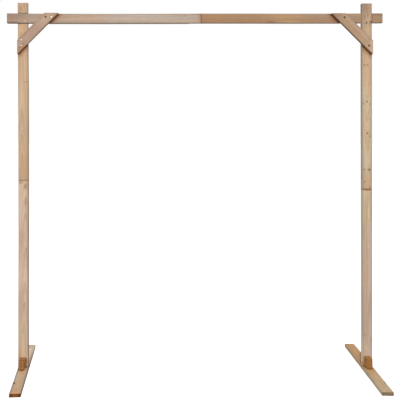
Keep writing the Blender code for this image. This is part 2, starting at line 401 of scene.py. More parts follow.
LOOKS["beam_right"] = Look(
    seed=16, slot="brown_beam_timber", along=(CHESTNUT, AMBER, CHESTNUT, GINGER, CLAY, CLAY, BISCUIT),
    side_tone=HAZEL, side_share=0.45, pith=(0.034, 0.03), drift=(-0.02, 0.012), ring=0.004,
    lift=0.87, bend=(0.0, 0.0, 0.0006, 0.0004, -0.0008), shaved=(0.001, 0.0025),
    knots=((0.47, 0.02, 0.0026),),
    marks=(
        (0.475, 0.022, 0.035, 0.009, COFFEE, 0.55),
        (0.59, 0.02, 0.09, 0.01, GINGER, 0.6),
        (1.105, -0.023, 0.045, 0.014, COFFEE, 0.65),
    ),
)
LOOKS["left_brace"] = Look(
    seed=17, slot="brace_timber", along=(COCOA, MAUVE, MAUVE, FAWN, MAUVE),
    side_tone=CLAY, side_share=0.3, pith=(0.02, 0.03), drift=(0.02, 0.0), ring=0.003, lift=1.08,
    marks=((0.04, 0.016, 0.06, 0.02, STAIN_AND_SHADOW, 0.45),),
)
LOOKS["right_brace"] = Look(
    seed=18, slot="brace_timber", along=(COFFEE, CLAY, CLAY, COCOA, PALE_ROSE),
    side_tone=CHESTNUT, side_share=0.4, pith=(-0.016, 0.034), drift=(0.01, 0.0), ring=0.0033,
    hue_share=0.6,
)
LOOKS["left_foot"] = Look(
    seed=19, slot="foot_timber", along=(CLAY, GINGER, TAN, HONEY, SAND, CREAM, CREAM, PALE_ROSE),
    side_tone=COCOA, side_share=0.25, pith=(0.002, 0.038), drift=(0.008, 0.01), ring=0.0036,
    rim_reach=0.032, edge_reach=0.015, edge_share=0.9, lift=1.04, flank_shading=(DIM_SHADED_FLANK, DIM_SHADED_FLANK),
    knots=((0.155, -0.0225, 0.006),),
    marks=(
        (0.155, -0.0225, 0.014, 0.011, NEAR_BLACK, 1.0),
        # Painted highlight: an orange band on the top face just behind the front end
        (0.016, 0.001, 0.032, 0.03, GLOW, 0.85),
        (0.322, 0.002, 0.05, 0.013, GLOW, 0.7),
        # Dark brown patch on the foot where the front of the block stands
        (0.356, -0.002, 0.014, 0.019, BLOCK_RIM, 0.85),
        (0.2, 0.004, 0.16, 0.008, GINGER, 0.55),
        (0.82, -0.002, 0.07, 0.015, FAWN, 0.6),
        (0.78, 0.029, 0.13, 0.008, CREAM, 0.7),
    ),
)
LOOKS["right_foot"] = Look(
    seed=20, slot="foot_timber", along=(WHEAT, WHEAT, WHEAT, OCHRE, OCHRE, OCHRE, OCHRE),
    side_tone=GINGER, side_share=0.35, pith=(-0.004, 0.034), drift=(-0.012, 0.01), ring=0.0034,
    end_tone=END_OLIVE, rim_tone=END_GREY, rim_reach=0.016,
    edge_tone=OLIVE_GREY, edge_reach=0.0145, flank_shading=(GREY_LIT_FLANK, GREY_LIT_FLANK),
    knots=((0.75, -0.006, 0.003),),
    marks=(
        (0.283, -0.03, 0.01, 0.005, NEAR_BLACK, 0.6),
        (0.139, 0.026, 0.03, 0.009, SLATE, 0.9),
        (0.487, -0.0188, 0.03, 0.01, RUST, 0.7),
        (0.338, -0.0076, 0.04, 0.012, GLOW, 0.45),
        # Dark brown patch on the foot where the front of the block stands
        (0.357, 0.002, 0.013, 0.018, BLOCK_RIM, 0.8),
        (0.7, -0.004, 0.12, 0.009, GLOW, 0.45),
        (0.18, 0.0, 0.18, 0.011, GINGER, 0.5),
        (0.31, -0.0055, 0.04, 0.011, GLOW, 0.4),
        (0.82, 0.022, 0.07, 0.012, OLIVE_GREY, 0.65),
    ),
)
LOOKS["left_front_block"] = Look(
    seed=21, slot="block_timber", along=(BLOCK_RUST, BLOCK_RUST), side_tone=BLOCK_BROWN, side_share=0.7,
    end_tone=BLOCK_END, rim_tone=BLOCK_RIM, pith=(-0.016, -0.002), ring=0.009,
    rim_reach=0.009, end_frame=0.0055, edge_share=0.15,
    marks=(
        # Dark patches on the block's sides, the second one lower, towards its foot
        (0.02, -0.004, 0.014, 0.007, DIRT_AND_SHADE, 0.7),
        (0.034, -0.025, 0.024, 0.009, DIRT_AND_SHADE, 0.7),
    ),
)
LOOKS["left_rear_block"] = Look(
    seed=22, slot="block_timber", along=(BLOCK_BROWN, CHESTNUT), side_tone=BLOCK_BROWN, side_share=0.4,
    end_tone=BLOCK_END, rim_tone=BLOCK_RIM, pith=(-0.02, 0.006), ring=0.008,
    rim_reach=0.009, end_frame=0.005, edge_share=0.15,
)
LOOKS["right_front_block"] = Look(
    seed=23, slot="block_timber", along=(BLOCK_GOLD, BLOCK_GOLD), side_tone=KNOT_RED, side_share=0.5,
    end_tone=BLOCK_GOLD_END, rim_tone=BLOCK_RIM, pith=(0.03, 0.006), ring=0.0086,
    rim_reach=0.005, edge_share=0.1,
    marks=(
        # Dark patches on the block's sides, the second one lower, towards its foot
        (0.04, 0.006, 0.016, 0.01, DIRT_AND_SHADE, 0.4),
        (0.02, -0.024, 0.026, 0.009, DIRT_AND_SHADE, 0.5),
    ),
)
LOOKS["right_rear_block"] = Look(
    seed=24, slot="block_timber", along=(BLOCK_GOLD, CHESTNUT), side_tone=BLOCK_GOLD, side_share=0.4,
    end_tone=BLOCK_GOLD_END, rim_tone=BLOCK_RIM, pith=(0.024, -0.008), ring=0.0078,
    rim_reach=0.009, end_frame=0.005, edge_share=0.15,
)


@dataclass
class Finish:
    """How a screw head looks: zinc, dirt, how metallic, how deep it lies, and how much it darkens the wood
    round it, with stains and, round the darkest heads, painted shade.
    """
    zinc: tuple
    dirt: tuple
    metallic: float
    sunk: float
    stain_and_shade: float


FINISHES = {
    "bright": Finish((0.95, 0.88, 0.78, 1.0), (0.5, 0.4, 0.3, 1.0), 0.75, 0.0, 0.1),
    "warm": Finish((0.8, 0.64, 0.47, 1.0), (0.5, 0.36, 0.25, 1.0), 0.6, 0.0, 0.1),
    # Near-black zinc on deep-sunk heads: partly rust, partly painted shade, so that the head reads as a
    # shadowed hole
    "rust_and_shade": Finish((0.07, 0.05, 0.035, 1.0), (0.03, 0.02, 0.012, 1.0), 0.4, 0.0022, 0.85),
    "dusty": Finish((0.46, 0.34, 0.24, 1.0), (0.3, 0.2, 0.13, 1.0), 0.2, 0.0, 0.15),
}
SCREW_FINISHES = {
    "left_brace_lower_screw_1": "bright",
    "left_brace_lower_screw_2": "bright",
    "left_brace_upper_screw_1": "bright",
    "left_crossing_screw_2": "warm",
    "left_brace_upper_screw_2": "rust_and_shade",
    "right_brace_lower_screw_1": "rust_and_shade",
    "right_brace_upper_screw_2": "rust_and_shade",
}


# Objects, meshes and materials

def add_object(name, data):
    """A new object of the scene."""
    thing = bpy.data.objects.new(name, data)
    bpy.context.scene.collection.objects.link(thing)
    return thing


def mesh_of(name, bm):
    """Turn a bmesh into a mesh and let go of it."""
    mesh = bpy.data.meshes.new(name)
    bm.to_mesh(mesh)
    bm.free()
    return mesh


def add_cutter(name, bm, place):
    """Turn a bmesh into an object that cuts others."""
    cutter = add_object(name, mesh_of(name, bm))
    cutter.matrix_world = place
    return cutter


def bridge(bm, first, second):
    """Faces between two loops with as many points."""
    for number in range(len(first)):
        after = (number + 1) % len(first)
        bm.faces.new((first[number], first[after], second[after], second[number]))


def dress(mesh, material, crease):
    """Give a mesh its one material and smooth shading, with edges sharper than an angle kept crisp."""
    mesh.shade_smooth()
    mesh.set_sharp_from_angle(angle=radians(crease))
    mesh.materials.clear()
    mesh.materials.append(material)


def new_material(name):
    """A node material and its shader node."""
    material = bpy.data.materials.new(name)
    material.use_nodes = True
    return material, material.node_tree.nodes["Principled BSDF"]


# Camera, floor and light

def add_camera():
    """Level camera at the photograph's eye point, shifted so that upright posts stay upright."""
    data = bpy.data.cameras.new("photo_camera")
    data.sensor_width = SENSOR_MM
    data.lens = SENSOR_MM * FOCAL_PIXELS / PHOTO_SIZE
    data.shift_x = (PHOTO_SIZE / 2 - CENTRE_PIXEL[0]) / PHOTO_SIZE
    data.shift_y = -(PHOTO_SIZE / 2 - CENTRE_PIXEL[1]) / PHOTO_SIZE
    data.clip_end = FARTHEST_SEEN
    camera = add_object("photo_camera", data)
    camera.matrix_world = (
        Matrix.Translation(EYE)
        @ Matrix.Rotation(-EYE_TURN, 4, "Z")
        @ Matrix.Rotation(radians(90.0), 4, "X")
        @ Matrix.Rotation(EYE_TILT, 4, "Z")
    )
    bpy.context.scene.camera = camera


def add_floor():
    """Wide white floor. It gives no light back, so that undersides stay dark as in the photograph."""
    bm = bmesh.new()
    bmesh.ops.create_grid(bm, x_segments=1, y_segments=1, size=FLOOR_REACH)
    floor = add_object("floor", mesh_of("floor", bm))
    material, shader = new_material("floor_white")
    feed(shader, "Base Color", FLOOR_WHITE)
    feed(shader, "Roughness", 1.0)
    feed(shader, "Specular IOR Level", 0.0)
    feed(shader, "Emission Color", WHITE)
    feed(shader, "Emission Strength", 0.5)
    floor.data.materials.append(material)
    floor.visible_diffuse = False
    floor.visible_glossy = False


def add_world():
    """Soft sky, brightest at the horizon and dim below it. The camera sees it plain white."""
    world = bpy.data.worlds.new("studio")
    bpy.context.scene.world = world
    world.use_nodes = True
    nodes = world.node_tree.nodes
    _, _, height = split(nodes.new("ShaderNodeTexCoord").outputs["Generated"])
    upper = mix(spread(height, 0.15, 0.9), HORIZON_SKY, HIGH_SKY)
    light = mix(spread(height, -0.1, 0.15), LOW_SKY, upper)
    seen = nodes.new("ShaderNodeLightPath").outputs["Is Camera Ray"]
    feed(nodes["Background"], "Color", mix(seen, light, WHITE))


def add_softbox(name, place, target, size, power):
    """A square area light turned towards a point."""
    data = bpy.data.lights.new(name, "AREA")
    data.size = size
    data.energy = power
    lamp = add_object(name, data)
    lamp.location = place
    lamp.rotation_euler = (Vector(target) - Vector(place)).to_track_quat("-Z", "Y").to_euler()


# Shader nodes

def feed(node, name, value):
    """Link an input of a node, by its name or number, to an output, or set it to a constant."""
    if isinstance(value, bpy.types.NodeSocket):
        node.id_data.links.new(value, node.inputs[name])
    else:
        node.inputs[name].default_value = value


def add_node(kind, inputs, **settings):
    """A new node with these inputs and settings, in the tree of the outputs among its inputs."""
    tree = next(value.id_data for value in inputs.values() if isinstance(value, bpy.types.NodeSocket))
    made = tree.nodes.new("ShaderNode" + kind)
    for name, value in settings.items():
        setattr(made, name, value)
    for name, value in inputs.items():
        feed(made, name, value)
    return made


def maths(operation, *values):
    """One number worked out from others."""
    return add_node("Math", dict(enumerate(values)), operation=operation).outputs[0]


def times(first, second):
    """Product of two numbers."""
    return maths("MULTIPLY", first, second)


def minus(first, second):
    """Difference of two numbers."""
    return maths("SUBTRACT", first, second)


def line(value, slope, start):
    """A number times a slope, plus a start."""
    return maths("MULTIPLY_ADD", value, slope, start)


def squares(first, second):
    """Sum of two numbers' squares."""
    return maths("ADD", maths("POWER", first, 2.0), maths("POWER", second, 2.0))


def hypotenuse(first, second):
    """Length of the vector with two numbers."""
    return maths("SQRT", squares(first, second))


def spread(value, low, high, to_low=0.0, to_high=1.0):
    """A smooth step from one level to another."""
    inputs = dict(enumerate((value, low, high, to_low, to_high)))
    return add_node("MapRange", inputs, interpolation_type="SMOOTHSTEP").outputs[0]


def fade(value, low, high, share=1.0):
    """A smooth step from a share down to nothing."""
    return spread(value, low, high, share, 0.0)


def split(vector):
    """The three numbers of a vector."""
    return tuple(add_node("SeparateXYZ", {0: vector}).outputs)


def shader_noise(vector, stretch, seed, detail=2.0):
    """Noise of a stretched place, as a 0 to 1 number and as a colour."""
    stretched = add_node("VectorMath", {0: vector, 1: stretch}, operation="MULTIPLY").outputs[0]
    inputs = {"Vector": stretched, "W": seed, "Scale": 1.0, "Detail": detail}
    return tuple(add_node("TexNoise", inputs, noise_dimensions="4D").outputs)


def mix(factor, first, second, blend="MIX"):
    """Two colours mixed by a factor."""
    inputs = {0: factor, 6: first, 7: second}
    return add_node("Mix", inputs, data_type="RGBA", blend_type=blend).outputs[2]


def brighten(colour, factor):
    """A colour times a number."""
    return add_node("VectorMath", {0: colour, "Scale": factor}, operation="SCALE").outputs[0]


def ramp(value, colours):
    """Evenly spaced colours that run smoothly into each other."""
    made = add_node("ValToRGB", {0: value})
    made.color_ramp.interpolation = "EASE"
    elements = made.color_ramp.elements
    while len(elements) < len(colours):
        elements.new(0.5)
    for number, (element, colour) in enumerate(zip(elements, colours)):
        element.position = number / (len(colours) - 1)
        element.color = colour
    return made.outputs[0]


class Wood:
    """Paints one board's weathered wood, with painted shade and highlights in places, layer by layer, in
    the board's own frame.
    """

    def __init__(self, tree, board, look):
        self.board = board
        self.look = look
        self.seed = look.seed * SEED_STEP
        coordinates = tree.nodes.new("ShaderNodeTexCoord")
        self.place = coordinates.outputs["Object"]
        self.x, self.y, self.z = split(self.place)
        self.turned_x, self.turned_y, _ = split(coordinates.outputs["Normal"])
        self.streak = self.wood_noise(STREAK)
        self.cloud = self.wood_noise(CLOUD)
        self.fibre = self.wood_noise(FIBRE)
        self.blot = self.wood_noise(BLOT)
        across_face = minus(board.width / 2, maths("ABSOLUTE", self.y))
        across_side = minus(board.thickness / 2, maths("ABSOLUTE", self.z))
        self.from_edge = maths("MINIMUM", across_face, across_side)
        from_arris = maths("MAXIMUM", across_face, across_side)
        self.worn = line(self.streak, 2 * WORN_SHIFT, minus(from_arris, WORN_SHIFT))

    def wood_noise(self, kind, output=0):
        """Noise that is drawn out along the grain."""
        along, across, detail, shift = kind
        return shader_noise(self.place, (along, across, across), self.seed + shift, detail)[output]

    def paint(self, share, colour):
        """Lay a colour over the wood."""
        self.colour = mix(share, self.colour, colour)

    def tint(self, share, colour):
        """Multiply the wood by a colour."""
        self.colour = mix(share, self.colour, colour, "MULTIPLY")

    def sway(self, value, amount):
        """Brighten and darken the wood by a 0 to 1 value."""
        self.colour = brighten(self.colour, line(value, amount, 1.0 - amount / 2))

    def find_rings(self):
        """Late wood: the dark part of each ring. The grain wanders and bends round the knots."""
        look = self.look
        _, wander_y, wander_z = split(self.wood_noise(WANDER, 1))
        bent_y = maths("ADD", self.y, line(wander_y, 2 * GRAIN_SHIFT, -GRAIN_SHIFT))
        bent_z = maths("ADD", self.z, line(wander_z, 2 * GRAIN_SHIFT, -GRAIN_SHIFT))
        self.knots = []
        for number, knot in enumerate(look.knots):
            bent_y, bent_z = self.pass_knot(bent_y, bent_z, knot, self.seed + number)
        pith_y = line(self.x, look.drift[0], look.pith[0])
        pith_z = line(self.x, look.drift[1], look.pith[1])
        from_pith = hypotenuse(minus(bent_y, pith_y), minus(bent_z, pith_z))
        rings = line(self.cloud, 0.9, maths("DIVIDE", from_pith, look.ring))
        phase = maths("FRACT", rings)
        self.late = times(spread(phase, *LATE_RISE), fade(phase, *LATE_FALL))

    def pass_knot(self, y, z, knot, seed):
        """Bend the grain round one knot, and keep the knot's core and its dark rim for later."""
        along, across, radius = knot
        dx = minus(self.x, self.board.low_end + along)
        dy = minus(y, across)
        reach = squares(times(dx, 0.4), dy)
        share = maths("DIVIDE", radius ** 2, maths("MAXIMUM", reach, radius ** 2))
        ragged, _ = shader_noise(self.place, (260.0, 260.0, 120.0), seed)
        away = line(ragged, 0.5 * radius, hypotenuse(times(dx, 0.8), dy))
        core = fade(away, 0.75 * radius, 1.45 * radius)
        halo = fade(away, 1.2 * radius, 2.6 * radius)
        self.knots.append((core, halo))
        return minus(y, times(dy, share)), line(share, -0.8 * radius, z)

    def lay_tones(self):
        """Tones along the board and towards its side, and warm and cool streaks."""
        board, look = self.board, self.look
        span = board.high_end - board.low_end
        spot = line(self.x, 1.0 / span, -board.low_end / span)
        spot = maths("ADD", spot, line(self.cloud, 2 * TONE_SHIFT, -TONE_SHIFT))
        self.colour = ramp(spot, look.along)
        sideways = spread(line(self.cloud, 0.02, self.y), *SIDE_BAND)
        self.paint(times(sideways, look.side_share), look.side_tone)
        self.tint(1.0, LIFT)
        hue = spread(self.wood_noise(HUE), 0.36, 0.64)
        self.tint(look.hue_share, mix(hue, WARM_TINT, COOL_TINT))
        self.colour = brighten(self.colour, look.lift)

    def lay_wear(self):
        """Greyed edges, knots, and soft marks that are whole at their middle and end at their reach."""
        look = self.look
        self.paint(fade(self.worn, -0.001, look.edge_reach, look.edge_share), look.edge_tone)
        for core, halo in self.knots:
            self.paint(times(halo, 0.35), KNOT_RING)
            self.paint(times(core, 0.92), KNOT_DARK)
        for along, across, long, wide, colour, share in look.marks:
            dx = line(self.x, 1.0 / long, -(self.board.low_end + along) / long)
            dy = line(self.y, 1.0 / wide, -across / wide)
            away = line(self.blot, 0.6, hypotenuse(dx, dy))
            self.paint(fade(away, *MARK_BAND, share), colour)

    def lay_grain(self):
        """Streaks, late wood, fibres, pores and dark specks."""
        self.sway(self.streak, STREAK_SWAY)
        self.sway(self.blot, BLOT_SWAY)
        self.tint(times(self.late, 0.42), LATE_TINT)
        self.sway(self.fibre, FIBRE_SWAY)
        self.sway(self.wood_noise(PORE), PORE_SWAY)
        self.paint(spread(self.wood_noise(SPECK), 0.6, 0.72, 0.0, self.look.specks), DIRT_AND_SHADE)

    def stain_joints(self):
        """Dirt in the seams of the laps. A shoulder's seam shows on the cut face alone."""
        for joint, cut_face in self.board.joints:
            away = maths("ABSOLUTE", minus(self.x, joint))
            share = fade(line(self.blot, 0.004, away), *JOINT_BAND, self.look.joint_share)
            if cut_face:
                share = times(share, spread(self.z, -CUT_BAND * cut_face, CUT_BAND * cut_face))
            self.paint(share, DIRT_AND_SHADE)

    def shade_below_brace(self):
        """Painted shadow on the front face just below the lower edge of the brace: a brown glow with a
        darker core.
        """
        at_x, at_y, out_x, out_y = self.board.brace_edge
        start = -(at_x * out_x + at_y * out_y) - BRACE_OVERLAP
        away = line(self.x, out_x, line(self.y, out_y, start))
        away = line(self.blot, 0.006, away)
        begun = times(spread(away, *SHADOW_RISE), fade(self.z, *FRONT_BAND))
        self.paint(times(begun, fade(away, 0.0, SHADOW_GLOW, 0.75)), STAIN_AND_SHADOW)
        self.paint(times(begun, fade(away, 0.0, self.look.shadow_reach, 0.7)), DIRT_AND_SHADE)

    def stain_and_shade_screws(self, screw_places):
        """Dirt round the screws, and painted shade round the darkest heads, each given as x, y, radius and
        share.
        """
        for x, y, radius, share in screw_places:
            away = hypotenuse(minus(self.x, x), minus(self.y, y))
            self.tint(fade(away, radius, radius * 2.2, share), CLAY)

    def shade_underside(self):
        """Painted shade: a darker band along the lower edge of the brace's faces, and a darker underside.
        """
        low, high = (self.board.width / 2 - reach for reach in EDGE_BAND)
        edge = spread(self.y, low, high, 0.0, 0.45)
        below = spread(self.turned_y, *FLANK_TURN, 0.0, 0.65)
        self.paint(maths("MAXIMUM", edge, below), DIRT_AND_SHADE)

    def shade_flanks(self):
        """Painted light and shade: a tint that lightens or darkens each narrow side."""
        for sign, flank_shade_tint in zip((-1.0, 1.0), self.look.flank_shading):
            self.tint(spread(times(self.turned_y, sign), *FLANK_TURN), flank_shade_tint)

    def lay_ends(self):
        """End grain over both ends, with a dark rim."""
        look = self.look
        self.end_grain = spread(maths("ABSOLUTE", self.turned_x), *END_TURN)
        face = self.colour
        self.colour = mix(spread(self.fibre, 0.35, 0.7, 0.0, 0.45), look.end_tone, look.rim_tone)
        self.tint(times(self.late, 0.6), LATE_TINT)
        self.sway(self.blot, END_SWAY)
        self.paint(fade(self.worn, 0.001, look.rim_reach, 0.75), look.rim_tone)
        if look.end_frame:
            self.frame_end(look.end_frame)
        self.colour = mix(self.end_grain, face, self.colour)

    def frame_end(self, reach):
        """Dark frame round a block's end, with a painted highlight: a pale line inside it."""
        inwards = line(self.blot, 0.007, self.from_edge)
        dark = fade(inwards, 0.8 * reach, 1.5 * reach, 0.85)
        rising = spread(inwards, 1.3 * reach, 1.8 * reach)
        self.paint(times(rising, fade(inwards, 1.9 * reach, 2.7 * reach, 0.5)), BLOCK_HIGHLIGHT)
        self.paint(dark, self.look.rim_tone)

    def feed_shader(self, shader):
        """Colour, rough ends, and fibres and rings raised by bump."""
        feed(shader, "Base Color", self.colour)
        feed(shader, "Roughness", line(self.end_grain, 0.12, line(self.fibre, 0.2, 0.62)))
        feed(shader, "Specular IOR Level", 0.3)
        height = line(self.fibre, 0.7, times(self.late, 0.5))
        bump = add_node("Bump", {"Strength": 0.55, "Distance": 0.0006, "Height": height})
        feed(shader, "Normal", bump.outputs[0])


def softwood(board, look, screw_places):
    """Weathered softwood for one board, with painted shade and light in places."""
    material, shader = new_material(board.node + "_wood")
    wood = Wood(material.node_tree, board, look)
    wood.find_rings()
    wood.lay_tones()
    wood.lay_wear()
    wood.lay_grain()
    wood.stain_joints()
    # Painted shadow below the brace, on the boards it crosses
    if board.brace_edge:
        wood.shade_below_brace()
    wood.stain_and_shade_screws(screw_places)
    # Painted shade on the brace's lower edge and underside
    if board.mitred:
        wood.shade_underside()
    wood.shade_flanks()
    wood.lay_ends()
    wood.feed_shader(shader)
    return material


def zinc(name, finish):
    """Zinc plate with stains in its hollows."""
    material, shader = new_material(name)
    place = material.node_tree.nodes.new("ShaderNodeTexCoord").outputs["Object"]
    _, _, height = split(place)
    mottle, _ = shader_noise(place, (900.0, 900.0, 900.0), 2.0, detail=3.0)
    deep = fade(line(mottle, 0.0006, height), -0.0012, 0.0002, 0.85)
    patch = spread(mottle, 0.5, 0.75, 0.0, 0.6)
    stained = mix(maths("MAXIMUM", deep, patch), finish.zinc, finish.dirt)
    feed(shader, "Base Color", stained)
    feed(shader, "Roughness", line(mottle, 0.35, 0.22))
    feed(shader, "Metallic", finish.metallic)
    return material


# Boards

def placement(centre, along, across):
    """Matrix that puts a board's X along one direction and its Y across another."""
    through = along.cross(across)
    turn = Matrix((along, across, through)).transposed().to_4x4()
    return Matrix.Translation(centre) @ turn


def straight_board(node, along, across, cut_face=0, cuts=(), trims=(0.0, 0.0)):
    """A board in the box of its node. Cuts are world places along the grain, trims shorten the ends."""
    low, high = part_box(node)
    centre = (low + high) / 2
    size = high - low
    middle = centre.dot(along)
    half_length = abs(size.dot(along)) / 2
    low_end = -half_length + trims[0]
    high_end = half_length - trims[1]
    cuts = tuple((start - middle, end - middle) for start, end in cuts)
    lapped_ends = [(end, 0) for end, trim in zip((low_end, high_end), trims) if trim]
    shoulders = [(place, cut_face) for cut in cuts for place in cut if low_end < place < high_end]
    width, thickness = abs(size.dot(across)), abs(size.dot(along.cross(across)))
    place = placement(centre, along, across)
    joints = tuple(lapped_ends + shoulders)
    return Board(node, place, low_end, high_end, width, thickness, cut_face, cuts, joints)


def foot_board(node, side):
    """A foot, flat on the ground, its front end turned towards the middle of the arch."""
    low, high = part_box(node)
    turn = Matrix.Rotation(-side * FOOT_TOE_IN, 3, "Z")
    place = placement((low + high) / 2, turn @ Y, turn @ X)
    return Board(node, place, -FOOT_LENGTH / 2, FOOT_LENGTH / 2, FOOT_WIDTH, high.z - low.z)


def brace_board(node, side):
    """A mitred brace, its long edge down and inwards."""
    low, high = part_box(node)
    half_long = (high.z - low.z) / sqrt(2)
    along = Vector((1.0, 0.0, -side)).normalized()
    across = Vector((-side, 0.0, -1.0)).normalized()
    place = placement((low + high) / 2 - across * BRACE_WIDTH / 2, along, across)
    return Board(node, place, -half_long, half_long, BRACE_WIDTH, high.y - low.y, mitred=True)


def edge_on_board(board, brace):
    """The brace's lower edge in a board's frame: a point on it and the direction away from the brace."""
    to_board = board.place.inverted()
    on_edge = to_board @ brace.place @ Vector((0.0, brace.width / 2, 0.0))
    outward = to_board.to_3x3() @ brace.place.to_3x3() @ Y
    return (on_edge.x, on_edge.y, outward.x, outward.y)


def seat(mate, along):
    """Where a mate lies along a board, with room for the seam."""
    low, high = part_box(mate)
    return low.dot(along) - SEAM, high.dot(along) + SEAM


def side_boards(side_name, side):
    """The boards of one side of the arch. Lapped boards are cut where their mates lie."""
    lower = side_name + "_post_lower"
    upper = side_name + "_post_upper"
    beam = "beam_" + side_name
    other_beam = "beam_right" if side < 0 else "beam_left"
    beam_trims = (0.0, SEAM) if side < 0 else (SEAM, 0.0)
    lower_board = straight_board(lower, Z, X, -side, [seat(upper, Z)], (0.0, SEAM))
    upper_board = straight_board(upper, Z, X, side, [seat(lower, Z), seat(beam, Z)], (SEAM, 0.0))
    beam_board = straight_board(beam, X, -Z, -side, [seat(upper, X), seat(other_beam, X)], beam_trims)
    brace = brace_board(side_name + "_brace", side)
    for braced in (upper_board, beam_board):
        braced.brace_edge = edge_on_board(braced, brace)
    boards = [lower_board, upper_board, beam_board, brace, foot_board(side_name + "_foot", side)]
    for face in ("front", "rear"):
        boards.append(straight_board("{}_{}_block".format(side_name, face), Y, Z))
    return boards


def stations(board):
    """Sections along a board: (place, how far the outline is drawn in, share of thickness kept)."""
    half = 0.5 - LAP_GAP / 2 / board.thickness

    def keep_at(place):
        return half if any(start < place < end for start, end in board.cuts) else 1.0

    rows = []
    for step in range(EASE_STEPS + 1):
        angle = radians(90.0) * (1.0 - step / EASE_STEPS)
        away = END_EASE * (1.0 - sin(angle))
        inset = END_EASE * (1.0 - cos(angle))
        for place in (board.low_end + away, board.high_end - away):
            rows.append((place, inset, keep_at(place)))
    for span in board.cuts:
        for shoulder, outward in zip(span, (-1, 1)):
            if board.low_end < shoulder < board.high_end:
                rows.append((shoulder + outward * SHOULDER_EASE, 0.0, 1.0))
                rows.append((shoulder, 0.0, 1.0 - SHOULDER_EASE / board.thickness))
                rows.append((shoulder - outward * SHOULDER_STEP, 0.0, half))
    taken = [row[0] for row in rows]
    length = board.high_end - board.low_end
    count = round(length / STATION_STEP)
    for number in range(1, count):
        place = board.low_end + length * number / count
        if min(abs(place - other) for other in taken) > NARROW_STEP:
            rows.append((place, 0.0, keep_at(place)))
    return sorted(rows)


def dents(board, rng):
    """Small knocks along the arrises: (place, corner, depth, half length)."""
    count = max(1, round((board.high_end - board.low_end) * DENTS_A_METRE))
    return [
        (
            rng.uniform(board.low_end, board.high_end),
            rng.randrange(4),
            rng.uniform(*DENT_DEPTH),
            rng.uniform(*DENT_HALF_LENGTH),
        )
        for _ in range(count)
    ]


def arris_radius(corner, place, seed, knocks):
    """Radius of one long edge at a place along the board."""
    wander = noise.noise(Vector((place * ARRIS_GRAIN, corner * CORNER_GRAIN, seed)))
    radius = ARRIS_RADIUS * (1.0 + ARRIS_WANDER * wander)
    for centre, knocked, depth, half_length in knocks:
        if knocked == corner:
            radius += depth * 2.0 ** (-((place - centre) / half_length) ** 2)
    return min(radius, LARGEST_ARRIS)


def section(half_width, half_thickness, radii):
    """Rounded outline as (y, z, outward y, outward z, where it closes on the end's middle line)."""
    points = []
    corners = [
        (sign_y, sign_y * (half_width - radius), sign_z * (half_thickness - radius), radius)
        for (sign_y, sign_z), radius in zip(((1, 1), (-1, 1), (-1, -1), (1, -1)), radii)
    ]
    for corner, (sign_y, centre_y, centre_z, radius) in enumerate(corners):
        for step in range(ARC_STEPS + 1):
            angle = radians(90.0) * (corner + step / ARC_STEPS)
            out_y, out_z = cos(angle), sin(angle)
            points.append((centre_y + radius * out_y, centre_z + radius * out_z, out_y, out_z, sign_y))
        _, next_y, next_z, next_radius = corners[(corner + 1) % 4]
        next_y += next_radius * out_y
        next_z += next_radius * out_z
        last_y, last_z = points[-1][:2]
        steps = SIDE_STEPS if corner % 2 else WIDTH_STEPS
        for step in range(1, steps):
            share = step / steps
            closes = sign_y if corner % 2 else sign_y * (1.0 - 2.0 * share)
            points.append((
                last_y + (next_y - last_y) * share, last_z + (next_z - last_z) * share,
                out_y, out_z, closes,
            ))
    return points


def set_back(board, y):
    """How far a mitred end lies behind its tip. The tip itself is blunt."""
    return max(board.width / 2 - y, TIP_BLUNT) if board.mitred else 0.0


def mitre(board, place, y):
    """Place along a board once its ends lean as they should."""
    half_long = board.high_end
    return place * (half_long - set_back(board, y)) / half_long if board.mitred else place


def bent(board, look, place):
    """Sideways shift of a crooked board at one place, read from evenly spaced shifts."""
    steps = len(look.bend) - 1
    reached = (place - board.low_end) / (board.high_end - board.low_end) * steps
    number = max(0, min(steps - 1, int(reached)))
    share = 0.5 - 0.5 * cos(pi * (reached - number))
    return look.bend[number] + (look.bend[number + 1] - look.bend[number]) * share


def board_mesh(board, look):
    """Loft a board through its sections, with worn edges, raised grain and rough-sawn ends."""
    seed = look.seed
    half_width = (board.width - sum(look.shaved)) / 2
    shift = (look.shaved[0] - look.shaved[1]) / 2
    kept_face = -board.cut_face * board.thickness / 2
    knocks = dents(board, Random(seed))
    bm = bmesh.new()
    loops = []
    for place, inset, keep in stations(board):
        radii = [
            max(arris_radius(corner, place, seed, knocks) - inset, SMALLEST_ARRIS) for corner in range(4)
        ]
        outline = section(half_width - inset, board.thickness / 2 - inset, radii)
        sideways = shift + bent(board, look, place)
        loop = []
        for y, z, out_y, out_z, _ in outline:
            spot = Vector((place * RELIEF_ALONG, y * RELIEF_ACROSS, z * RELIEF_ACROSS + seed * 3.1))
            drawn_in = RELIEF * (0.5 + 0.5 * noise.noise(spot))
            y -= out_y * drawn_in
            z -= out_z * drawn_in
            z = kept_face + (z - kept_face) * keep
            loop.append(bm.verts.new((mitre(board, place, y), y + sideways, z)))
        loops.append(loop)
    for first, second in zip(loops, loops[1:]):
        bridge(bm, first, second)
    closes = [point[4] for point in outline]
    for loop, outward in ((loops[0], -1), (loops[-1], 1)):
        close_end(bm, board, loop, closes, outward, seed)
    bmesh.ops.remove_doubles(bm, verts=bm.verts, dist=WELD_REACH)
    bmesh.ops.recalc_face_normals(bm, faces=bm.faces)
    return mesh_of(board.node + "_timber", bm)


